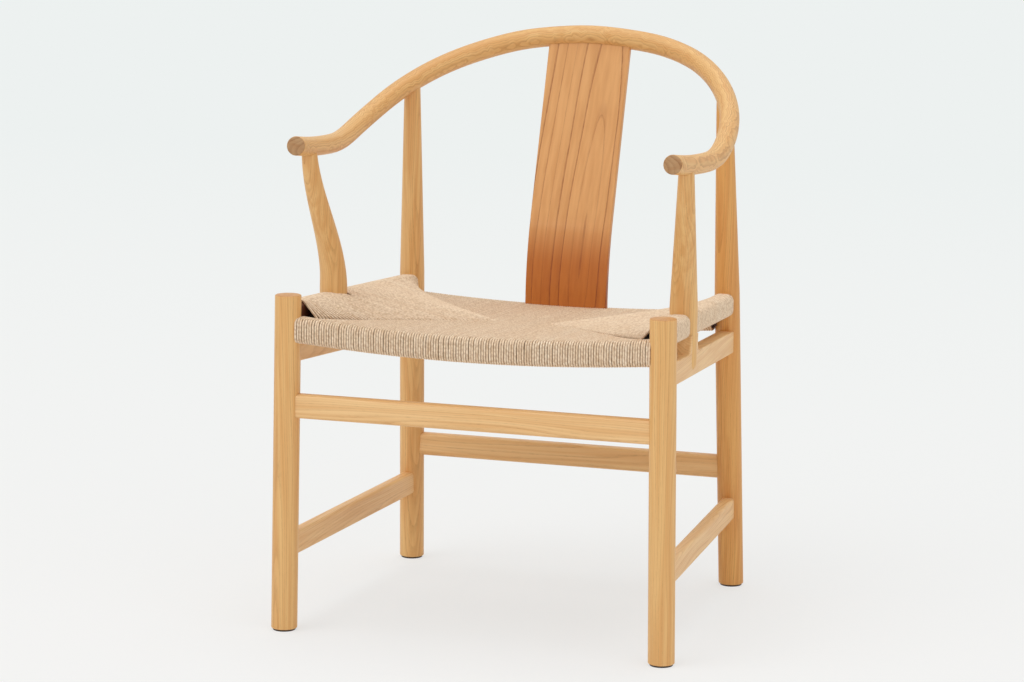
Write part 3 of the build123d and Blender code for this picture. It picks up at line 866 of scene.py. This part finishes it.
def placed(loop, centre, inward, drift=None):
    """A loop's points in space.

    centre is on the rail's centre line and inward points to the middle of the seat. drift
    gives, at a point of the loop, how far it is pushed along the rail and outwards.
    """
    inward = Vector(inward)
    along = Vector((0, 0, 1)).cross(inward)
    points = []
    for a, z in loop:
        aside, out = drift(a, z) if drift else (0, 0)
        points.append(centre + inward * (a - out) + along * aside + Vector((0, 0, z)))
    return points


def smooth_step(value, low, high):
    """0 below low, 1 above high, and a smooth rise from one to the other."""
    share = max(0.0, min(1.0, (value - low) / (high - low)))
    return share * share * (3 - 2 * share)


print("each free run has", len(RUN_SHARES), "points between its seam and its rail")

# %% [markdown]
# ## Woven seat: the five fields
#
# The front and rear fields have strands that run front to back, the side fields have
# strands that run across, and the band in the middle goes straight from rail to rail.
# Two things interrupt the weave. The splat's foot stands on the rear rail, so the strands
# there stop in front of it and start again behind it. The arm supports stand on the side
# rails, and the strands on either side of one crowd together again just inside the rail.

# %% Front and rear fields
TOUCH = 0.25  # between a strand and the upright beside it
SPLAT_HALF = (60.5, 5.5)  # half the splat's width and thickness
BOW = (4.3, 1.9)  # how far the last strands by a leg lean round it, outwards and forwards
BOW_REACH = 15.0  # how fast that fades away from the leg
LEAN_FACE = (-2.0, 8.0)  # in front of the rail's middle: where the lean sets in and is full
LEAN_ROUNDS = 30  # enough to settle where a leaning strand starts
OPENING = FRONT_CORNER[0]  # outside this a front strand meets no seam, and goes down at once


def spread(first, last):
    """Evenly spaced places from first to last, about a pitch apart."""
    count = round(abs(last - first) / PITCH)
    return [mix(first, last, i / count) for i in range(count + 1)]


def seam_ends(run, height):
    """Upper and lower end of a strand at a seam, from the rail's centre line."""
    return (run, height - CORD / 2), (run, height - CORD / 2 - PAD)


front_edge = FRONT_AXIS[0] - LEG_RADIUS - TOUCH - CORD / 2
rear_edge = REAR_AXIS[0] - LEG_RADIUS - TOUCH - CORD / 2
splat_edge = SPLAT_HALF[0] + GAP + CORD / 2
splat_face = SPLAT_HALF[1] + GAP


def front_strand(x):
    """A strand over the front rail at x, which leans round the leg if it is near one."""
    centre = Vector((x, LEG_AXIS_Y + FRONT_AXIS[1], dished_height(FRONT_AXIS, x)))
    back, height = end_seam(FRONT_CORNER, x)
    run = back - FRONT_AXIS[1] if abs(x) < OPENING else 0
    loop = dipped(tight_loop(FRONT_HALF, *seam_ends(run, height - centre.z)))
    near = math.exp((abs(x) - front_edge) / BOW_REACH)

    def lean(a, z):
        on_face = near * smooth_step(-a, *LEAN_FACE)
        # along the rail is towards the left here, so the sign turns it outwards
        return -math.copysign(BOW[0] * on_face, x), BOW[1] * on_face

    return placed(loop, centre, (0, 1, 0), lean)


def rear_strand(x):
    """The one or two lines of a strand over the rear rail at x."""
    centre = Vector((x, LEG_AXIS_Y + REAR_AXIS[1], dished_height(REAR_AXIS, x)))
    back, height = end_seam(REAR_CORNER, x)
    loop = dipped(tight_loop(REAR_HALF, *seam_ends(REAR_AXIS[1] - back, height - centre.z)))
    parts = parted(loop, splat_face) if abs(x) < splat_edge else [loop]
    return [placed(part, centre, (0, -1, 0)) for part in parts]


def before_lean(place):
    """Where a strand starts that lies at a place on the rail's face once it has leaned."""
    x = place
    for _ in range(LEAN_ROUNDS):
        x = place - BOW[0] * math.exp((x - front_edge) / BOW_REACH)
    return x


front_strands, rear_strands = [], []
for sign in (-1, 1):
    for place in spread(APEX[0] + PITCH / 2, front_edge + BOW[0]):
        front_strands.append(front_strand(sign * before_lean(place)))
    for x in spread(APEX[0] + PITCH / 2, rear_edge):
        rear_strands += rear_strand(sign * x)
print(len(front_strands), "front lines,", len(rear_strands), "rear lines")

# %% Middle band
def middle_strand(x):
    """A run from behind the splat under the seat, round the front rail and back over it."""
    front = Vector((x, LEG_AXIS_Y + FRONT_AXIS[1], dished_height(FRONT_AXIS, x)))
    rear = Vector((x, LEG_AXIS_Y + REAR_AXIS[1], dished_height(REAR_AXIS, x)))
    ends = seam_ends(APEX[1] - FRONT_AXIS[1], APEX[2] - front.z)
    front_line = placed(tight_loop(FRONT_HALF, *ends), front, (0, 1, 0))
    ends = seam_ends(REAR_AXIS[1] - APEX[1], APEX[2] - rear.z)
    over, under = parted(tight_loop(REAR_HALF, *ends), splat_face)
    under = placed(under, rear, (0, -1, 0))
    over = placed(over, rear, (0, -1, 0))
    return under + front_line[::-1][1:] + over[1:]


middle_strands = [middle_strand(x) for x in spread(PITCH / 2 - APEX[0], APEX[0] - PITCH / 2)]
print(len(middle_strands), "strands in the middle band")

# %% Side fields
SUPPORT_BACK = 141.3  # an arm support's axis behind the front leg's
SUPPORT_RADIUS = 18.8
RISER_REAR = 168.0  # the rear edge of the riser under the rail, which the strands pass
RISER_DOWN = (6.0, 12.0)  # below the rail's middle: where the riser's push sets in, is full
RISER_IN = (11.0, 25.0)  # inboard of the rail's middle: where it starts to fade, is gone
# in front of an arm support and behind it: how far the nearest strand closes in on it
# inside the rail, how fast that fades along the rail, and how far inboard it takes
CROWD = ((22.0, 30.0, 5.0), (16.0, 38.0, 14.0))
FAN = 4.0  # inboard of the rail's middle, from where strands head for their seam points


def support_push(back, a, z):
    """How far along the rail a side strand is pushed by the arm support and the riser."""
    if back < SUPPORT_BACK:
        (gap, fade, closing), direction = CROWD[0], 1
        nearness = math.exp((back - SUPPORT_BACK + SUPPORT_RADIUS) / fade)
    else:
        (gap, fade, closing), direction = CROWD[1], -1
        nearness = math.exp((SUPPORT_BACK + SUPPORT_RADIUS - back) / fade)
    inboard = max(0.0, a - SIDE_HALF[0])
    push = direction * gap * nearness * (1 - math.exp(-inboard / closing))
    if back > SUPPORT_BACK:
        clear = RISER_REAR - SUPPORT_BACK - SUPPORT_RADIUS
        low, inside = smooth_step(-z, *RISER_DOWN), smooth_step(a, *RISER_IN)
        push += clear * nearness * low * (1 - inside)
    return push


def side_places():
    """Distances back of the strands on a side rail, clear of its uprights."""
    clear = TOUCH + CORD / 2
    before = (LEG_RADIUS + clear, SUPPORT_BACK - SUPPORT_RADIUS - clear)
    behind = (SUPPORT_BACK + SUPPORT_RADIUS + clear, SETBACK - LEG_RADIUS - clear)
    return spread(*before) + spread(*behind)


def side_strand(side, back, seam_back):
    """A strand over a side rail that reaches its seam at another distance back."""
    x, z = side_axis(back)
    seam_x, height = side_seam(seam_back)
    run = x - seam_x
    loop = dipped(tight_loop(SIDE_HALF, *seam_ends(run, height - z)))

    def drift(a, z):
        share = max(0.0, min(1.0, (a - FAN) / max(run - FAN, 1)))
        aside = support_push(back, a, z) * (1 - share) + (seam_back - back) * share
        # along the rail is towards the front on the right side
        return -side * aside, 0

    return placed(loop, Vector((side * x, LEG_AXIS_Y + back, z)), (-side, 0, 0), drift)


# distances back at which a side field's first and last strand meet their seams. The first
# ends right behind the wrapped front rail, and so leaves a small opening by each leg.
SEAM_SPAN = (17.0, 411.0)
places = side_places()
seam_places = [mix(*SEAM_SPAN, i / (len(places) - 1)) for i in range(len(places))]
side_strands = {
    name: [side_strand(side, back, seam) for back, seam in zip(places, seam_places)]
    for name, side in (("left", -1), ("right", 1))
}
print(len(places), "strands on each side rail")

# %% [markdown]
# ## Seat filler
#
# Between the upper and lower strands a woven seat is packed with folded kraft paper. It
# keeps the fields level. One thin sheet halfway between them stands for it here. Its
# near-black colour is painted shade, so that the gaps between strands look dark. It is a
# grid of points, each at the height halfway down the weave, and its rim follows the
# rails' inner faces.

# %% Filler sheet
FILLER_THICK = 3.0
FILLER_RIM = 4.0  # clear of the rails' inner faces
GRID = (28, 24)  # squares across and from front to back
KRAFT_MOTTLE = 6.0  # mm


def filler_height(x, back):
    """Height halfway between the upper and lower strands at a place in the seat."""
    seam_mid = (PAD + CORD) / 2
    side_x, side_z = side_axis(back)
    options = []
    for axis, corner, sign in ((FRONT_AXIS, FRONT_CORNER, 1), (REAR_AXIS, REAR_CORNER, -1)):
        reach, height = end_seam(corner, min(max(abs(x), APEX[0]), REAR_CORNER[0] - FILLER_RIM))
        share = sign * (back - axis[1]) / max(sign * (reach - axis[1]), FILLER_RIM)
        options.append((share, dished_height(axis, x), height - seam_mid))
    seam_x, height = side_seam(back)
    run = max(side_x - seam_x, FILLER_RIM)
    options.append(((side_x - abs(x)) / run, side_z, height - seam_mid))
    share, rail_z, seam_z = min(options)
    return mix(rail_z, seam_z, max(0.0, min(1.0, share)))


def filler_sheet():
    """The filler as a closed sheet."""
    front = FRONT_AXIS[1] + FRONT_HALF[0] + FILLER_RIM
    rear = REAR_AXIS[1] - REAR_HALF[0] - FILLER_RIM
    points, faces = [], []
    wide, deep = GRID[0] + 1, GRID[1] + 1
    for layer in (0.5, -0.5):
        for j in range(deep):
            back = mix(front, rear, j / GRID[1])
            half = side_axis(back)[0] - SIDE_HALF[0] - FILLER_RIM
            for i in range(wide):
                x = mix(-half, half, i / GRID[0])
                height = filler_height(x, back) + layer * FILLER_THICK
                points.append(Vector((x, LEG_AXIS_Y + back, height)) * MM)
    below = wide * deep
    for j in range(GRID[1]):
        for i in range(GRID[0]):
            k = j * wide + i
            faces.append((k, k + 1, k + wide + 1, k + wide))
            faces.append((below + k, below + k + wide, below + k + wide + 1, below + k + 1))
    rim = [*range(wide)]
    rim += [j * wide + wide - 1 for j in range(1, deep)]
    rim += [(deep - 1) * wide + i for i in range(wide - 2, -1, -1)]
    rim += [j * wide for j in range(deep - 2, 0, -1)]
    for k, after in zip(rim, rim[1:] + rim[:1]):
        faces.append((k, below + k, below + after, after))
    mesh = bpy.data.meshes.new("seat_filler")
    mesh.from_pydata(points, [], faces)
    return add_object("seat_filler", mesh)


def kraft_in_painted_shade():
    """Folded kraft paper, matte and slightly mottled, near black as painted shade."""
    material, tree = new_material("folded kraft paper")
    # near-black colours: painted shade in the gaps between the strands
    _, tint = mottled(tree, KRAFT_MOTTLE, 3.0, "#24140A", "#382313")
    paper = add_node(tree, "ShaderNodeBsdfPrincipled", {"Base Color": tint, "Roughness": 0.9})
    finish_material(tree, paper.outputs[0])
    return material


filler = filler_sheet()
dress(filler, kraft_in_painted_shade())
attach(filler, "root")
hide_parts("seat_weave")
print("filler has", len(filler.data.polygons), "faces")

# %% [markdown]
# ## Woven seat: cords along the strand lines
#
# The lines become cords with Geometry Nodes, because the same few steps serve every
# strand: the line is turned into a curve, nudged a little so that no two strands lie
# alike, and given a round section. Three numbers are stored for the finish: the distance
# along the cord, the share of the way round it and the strand's number. The result is
# made a plain mesh, and the modifier goes.

# %% Cord tree
STRAND_STEP = 7.31  # between two strands' places in the noise, so that no two match
STRAY_LENGTH = 60.0  # mm of cord from one stray to the next
WRAP_JUMP = 0.25  # a share this far behind its face's mean has fallen back to 0


def straying(tree, curves, strand_number, given):
    """The curves, nudged by slow noise that is another one for each strand."""
    apart = add_node(
        tree, "ShaderNodeMath", {0: strand_number, 1: STRAND_STEP}, operation="MULTIPLY"
    )
    shifted = add_node(
        tree, "ShaderNodeMath", {0: apart.outputs[0], 1: given["Seed"]}, operation="ADD"
    )
    wave = add_node(
        tree,
        "ShaderNodeTexNoise",
        {"W": shifted.outputs[0], "Scale": 1 / (STRAY_LENGTH * MM), "Detail": 1.0},
        noise_dimensions="4D",
    )
    centred = add_node(
        tree,
        "ShaderNodeVectorMath",
        {0: wave.outputs["Color"], 1: (0.5, 0.5, 0.5)},
        operation="SUBTRACT",
    )
    nudge = add_node(
        tree,
        "ShaderNodeVectorMath",
        {0: centred.outputs[0], 1: given["Looseness"]},
        operation="MULTIPLY",
    )
    nudged = add_node(
        tree, "GeometryNodeSetPosition", {"Geometry": curves, "Offset": nudge.outputs[0]}
    )
    return nudged.outputs[0]


def round_section(tree, given):
    """A cord's section, each of its points knowing its share of the way round."""
    half = add_node(tree, "ShaderNodeMath", {0: given["Diameter"], 1: 0.5}, operation="MULTIPLY")
    ring = add_node(
        tree,
        "GeometryNodeCurvePrimitiveCircle",
        {"Resolution": given["Sides"], "Radius": half.outputs[0]},
    )
    index = add_node(tree, "GeometryNodeInputIndex").outputs[0]
    around = add_node(tree, "ShaderNodeMath", {0: index, 1: given["Sides"]}, operation="DIVIDE")
    section = add_node(
        tree,
        "GeometryNodeStoreNamedAttribute",
        {"Geometry": ring.outputs["Curve"], "Name": "around", "Value": around.outputs[0]},
        data_type="FLOAT",
        domain="POINT",
    )
    return section.outputs[0]


def unbroken(tree, share):
    """The share of the way round, without a jump at the seam.

    The last face of each round joins the section's end to its start. There the share has
    to count on to 1 instead of falling back to 0.
    """
    on_face = add_node(
        tree, "GeometryNodeFieldOnDomain", {"Value": share}, data_type="FLOAT", domain="FACE"
    )
    behind = add_node(
        tree, "ShaderNodeMath", {0: on_face.outputs[0], 1: share}, operation="SUBTRACT"
    )
    wraps = add_node(
        tree, "ShaderNodeMath", {0: behind.outputs[0], 1: WRAP_JUMP}, operation="GREATER_THAN"
    )
    whole = add_node(tree, "ShaderNodeMath", {0: share, 1: wraps.outputs[0]}, operation="ADD")
    return whole.outputs[0]


def cord_tree():
    """Node tree that turns strand lines into cords."""
    tree = bpy.data.node_groups.new("cord along strand lines", "GeometryNodeTree")
    tree.interface.new_socket("Geometry", in_out="INPUT", socket_type="NodeSocketGeometry")
    for name, kind in (
        ("Diameter", "NodeSocketFloat"),
        ("Sides", "NodeSocketInt"),
        ("Looseness", "NodeSocketVector"),
        ("Seed", "NodeSocketInt"),
        ("Finish", "NodeSocketMaterial"),
    ):
        tree.interface.new_socket(name, in_out="INPUT", socket_type=kind)
    tree.interface.new_socket("Geometry", in_out="OUTPUT", socket_type="NodeSocketGeometry")
    given = add_node(tree, "NodeGroupInput").outputs
    strand_number, along, share = (
        add_node(
            tree, "GeometryNodeInputNamedAttribute", {"Name": name}, data_type="FLOAT"
        ).outputs["Attribute"]
        for name in ("strand", "along", "around")
    )

    curves = add_node(tree, "GeometryNodeMeshToCurve", {"Mesh": given["Geometry"]})
    length = add_node(tree, "GeometryNodeSplineParameter").outputs["Length"]
    marked = add_node(
        tree,
        "GeometryNodeStoreNamedAttribute",
        {"Geometry": curves.outputs[0], "Name": "along", "Value": length},
        data_type="FLOAT",
        domain="POINT",
    )
    line = straying(tree, marked.outputs[0], strand_number, given)
    cord = add_node(
        tree,
        "GeometryNodeCurveToMesh",
        {"Curve": line, "Profile Curve": round_section(tree, given), "Fill Caps": True},
    )
    numbers = add_node(
        tree, "ShaderNodeCombineXYZ", {0: along, 1: unbroken(tree, share), 2: strand_number}
    )
    stored = add_node(
        tree,
        "GeometryNodeStoreNamedAttribute",
        {"Geometry": cord.outputs[0], "Name": "cord_map", "Value": numbers.outputs[0]},
        data_type="FLOAT_VECTOR",
        domain="CORNER",
    )
    real = add_node(tree, "GeometryNodeRealizeInstances", {"Geometry": stored.outputs[0]})
    dressed = add_node(
        tree,
        "GeometryNodeSetMaterial",
        {"Geometry": real.outputs[0], "Material": given["Finish"]},
    )
    add_node(tree, "NodeGroupOutput", {0: dressed.outputs[0]})
    return tree


cord_nodes = cord_tree()
sockets = cord_nodes.interface.items_tree
print("cord tree inputs:", [socket.name for socket in sockets if socket.in_out == "INPUT"])

# %% [markdown]
# ## Woven seat: paper cord
#
# Paper cord is three plies of kraft paper twisted hard together and lightly waxed. Seen
# close, each strand is a row of slanted ridges, with painted shade where the plies meet.
# The ridges are drawn from the first two stored numbers: moving along the cord by one
# ply's pitch looks the same as turning a third of the way round it. The strand's number
# gives each strand a tone of its own, and each cord's sides towards its neighbours get
# painted shade.

# %% Paper cord material
PLIES = 3
LAY = 9.0  # mm of cord for one full turn of a ply
FLECK, PATCH = 3.4, 30.0  # mm, of the paper's own spots and of its slow changes in tone


def ply_ridges(tree, along, around):
    """Height of the plies: 0 where two of them meet, 1 in the middle of one."""
    turns = add_node(
        tree, "ShaderNodeMath", {0: along, 1: PLIES / (LAY * MM)}, operation="MULTIPLY"
    )
    twisted = add_node(
        tree,
        "ShaderNodeMath",
        {0: around, 1: float(PLIES), 2: turns.outputs[0]},
        operation="MULTIPLY_ADD",
    )
    ply = add_node(tree, "ShaderNodeMath", {0: twisted.outputs[0], 1: 1.0}, operation="PINGPONG")
    stops = ((0.0, 0.0), (0.4, 0.8), (1.0, 1.0))
    return add_node(tree, "ShaderNodeValToRGB", {0: ply.outputs[0]}, stops).outputs[0]


def paper_cord(name, sideways):
    """Natural kraft-paper cord, hard twisted, matte, with painted shade towards its neighbours.

    sideways is the number of the axis, 0 or 1, that points at the neighbouring strands.
    """
    material, tree = new_material(name)
    stored = add_node(tree, "ShaderNodeAttribute", attribute_name="cord_map")
    along, around, strand_number = add_node(
        tree, "ShaderNodeSeparateXYZ", {0: stored.outputs["Vector"]}
    ).outputs
    ridge = ply_ridges(tree, along, around)
    source = add_node(tree, "ShaderNodeTexCoord")
    place = source.outputs["Object"]
    fleck, patch = (
        add_node(
            tree, "ShaderNodeTexNoise", {"Vector": place, "Scale": 1 / (size * MM), "Detail": 2.0}
        ).outputs[0]
        for size in (FLECK, PATCH)
    )
    tone = add_node(tree, "ShaderNodeTexWhiteNoise", {"W": strand_number}, noise_dimensions="1D")
    tone = add_node(tree, "ShaderNodeMath", {0: tone.outputs[0], 1: patch}, operation="ADD")
    tone = add_node(tree, "ShaderNodeMath", {0: tone.outputs[0], 1: 0.5}, operation="MULTIPLY")
    neighbour_shade = add_node(tree, "ShaderNodeSeparateXYZ", {0: source.outputs["Normal"]})
    neighbour_shade = add_node(
        tree, "ShaderNodeMath", {0: neighbour_shade.outputs[sideways]}, operation="ABSOLUTE"
    ).outputs[0]
    layers = (  # what darkens the paper, from and to which value, how much there, and to what
        (fleck, 0.38, 0.6, 0.5, 0.0, "#C39C72"),
        # painted shade where the plies meet
        (ridge, 0.0, 1.0, 0.2, 0.0, "#B08B62"),
        # painted shade on the sides that face the neighbouring strands
        (neighbour_shade, 0.5, 1.0, 0.0, 0.45, "#8A5F38"),
    )
    colour = add_node(
        tree,
        "ShaderNodeMix",
        {0: tone.outputs[0], 6: hex_colour("#F4D8B7"), 7: hex_colour("#FFEDD4")},
        data_type="RGBA",
    ).outputs[2]
    for value, low, high, first, last, tint in layers:
        share = add_node(
            tree, "ShaderNodeMapRange", {0: value, 1: low, 2: high, 3: first, 4: last}
        )
        colour = add_node(
            tree,
            "ShaderNodeMix",
            {0: share.outputs[0], 6: colour, 7: hex_colour(tint)},
            data_type="RGBA",
        ).outputs[2]
    bump = add_node(
        tree, "ShaderNodeBump", {"Height": ridge, "Strength": 0.6, "Distance": 0.25 * MM}
    )
    paper = add_node(
        tree,
        "ShaderNodeBsdfPrincipled",
        {"Base Color": colour, "Roughness": 0.8, "IOR": 1.45, "Normal": bump.outputs[0]},
    )
    finish_material(tree, paper.outputs[0])
    return material


paper_finish = {
    "back": paper_cord("twisted paper cord, front to back", 0),
    "across": paper_cord("twisted paper cord, side to side", 1),
}
print("plies meet every", round(LAY / PLIES, 2), "mm along the cord")

# %% Lay the cords
SIDES = 8  # of a cord's section, shaded smooth
STRAY = (1.5, 0.35, 0.3)  # mm that a strand may stray beside, along and above its line


def line_mesh(name, strands):
    """Strand lines as a mesh of edges, each point knowing its strand's number."""
    points, edges, numbers = [], [], []
    for number, line in enumerate(strands):
        first = len(points)
        points += [p * MM for p in line]
        numbers += [float(number)] * len(line)
        edges += [(first + i, first + i + 1) for i in range(len(line) - 1)]
    mesh = bpy.data.meshes.new(name)
    mesh.from_pydata(points, edges, [])
    attribute = mesh.attributes.new("strand", "FLOAT", "POINT")
    attribute.data.foreach_set("value", numbers)
    return mesh


def set_input(modifier, name, value):
    """Sets a node modifier's input, found by its name, through its identifier."""
    for item in modifier.node_group.interface.items_tree:
        if item.name == name and item.in_out == "INPUT":
            modifier[item.identifier] = value


def plain_result(source, name):
    """What an object's modifiers make of it, as a plain object."""
    graph = bpy.context.evaluated_depsgraph_get()
    mesh = bpy.data.meshes.new_from_object(source.evaluated_get(graph))
    mesh.name = name
    piece = add_object(name, mesh)
    bpy.data.objects.remove(source)
    return piece


def lay_cords(name, strands, seed, across):
    """Lays a field of cords along its strand lines, as one plain piece.

    across tells that the strands run across the seat and not from front to back.
    """
    beside, lengthwise, above = STRAY
    loose = (lengthwise, beside, above) if across else (beside, lengthwise, above)
    guide = add_object(name + "_lines", line_mesh(name + "_lines", strands))
    modifier = guide.modifiers.new("cords", "NODES")
    modifier.node_group = cord_nodes
    set_input(modifier, "Diameter", CORD * MM)
    set_input(modifier, "Sides", SIDES)
    set_input(modifier, "Looseness", Vector(loose) * MM)
    set_input(modifier, "Seed", seed)
    set_input(modifier, "Finish", paper_finish["across" if across else "back"])
    piece = plain_result(guide, name)
    shade_smooth(piece)
    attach(piece, "root")
    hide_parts("seat_weave")
    triangles = sum(len(p.vertices) - 2 for p in piece.data.polygons)
    print(name, "has", len(strands), "strands and", triangles, "triangles")


fields = {
    "front": front_strands,
    "rear": rear_strands,
    "middle": middle_strands,
    **side_strands,
}
for seed, (field, strands) in enumerate(fields.items(), start=1):
    lay_cords("seat_cords_" + field, strands, seed, across=field in side_strands)
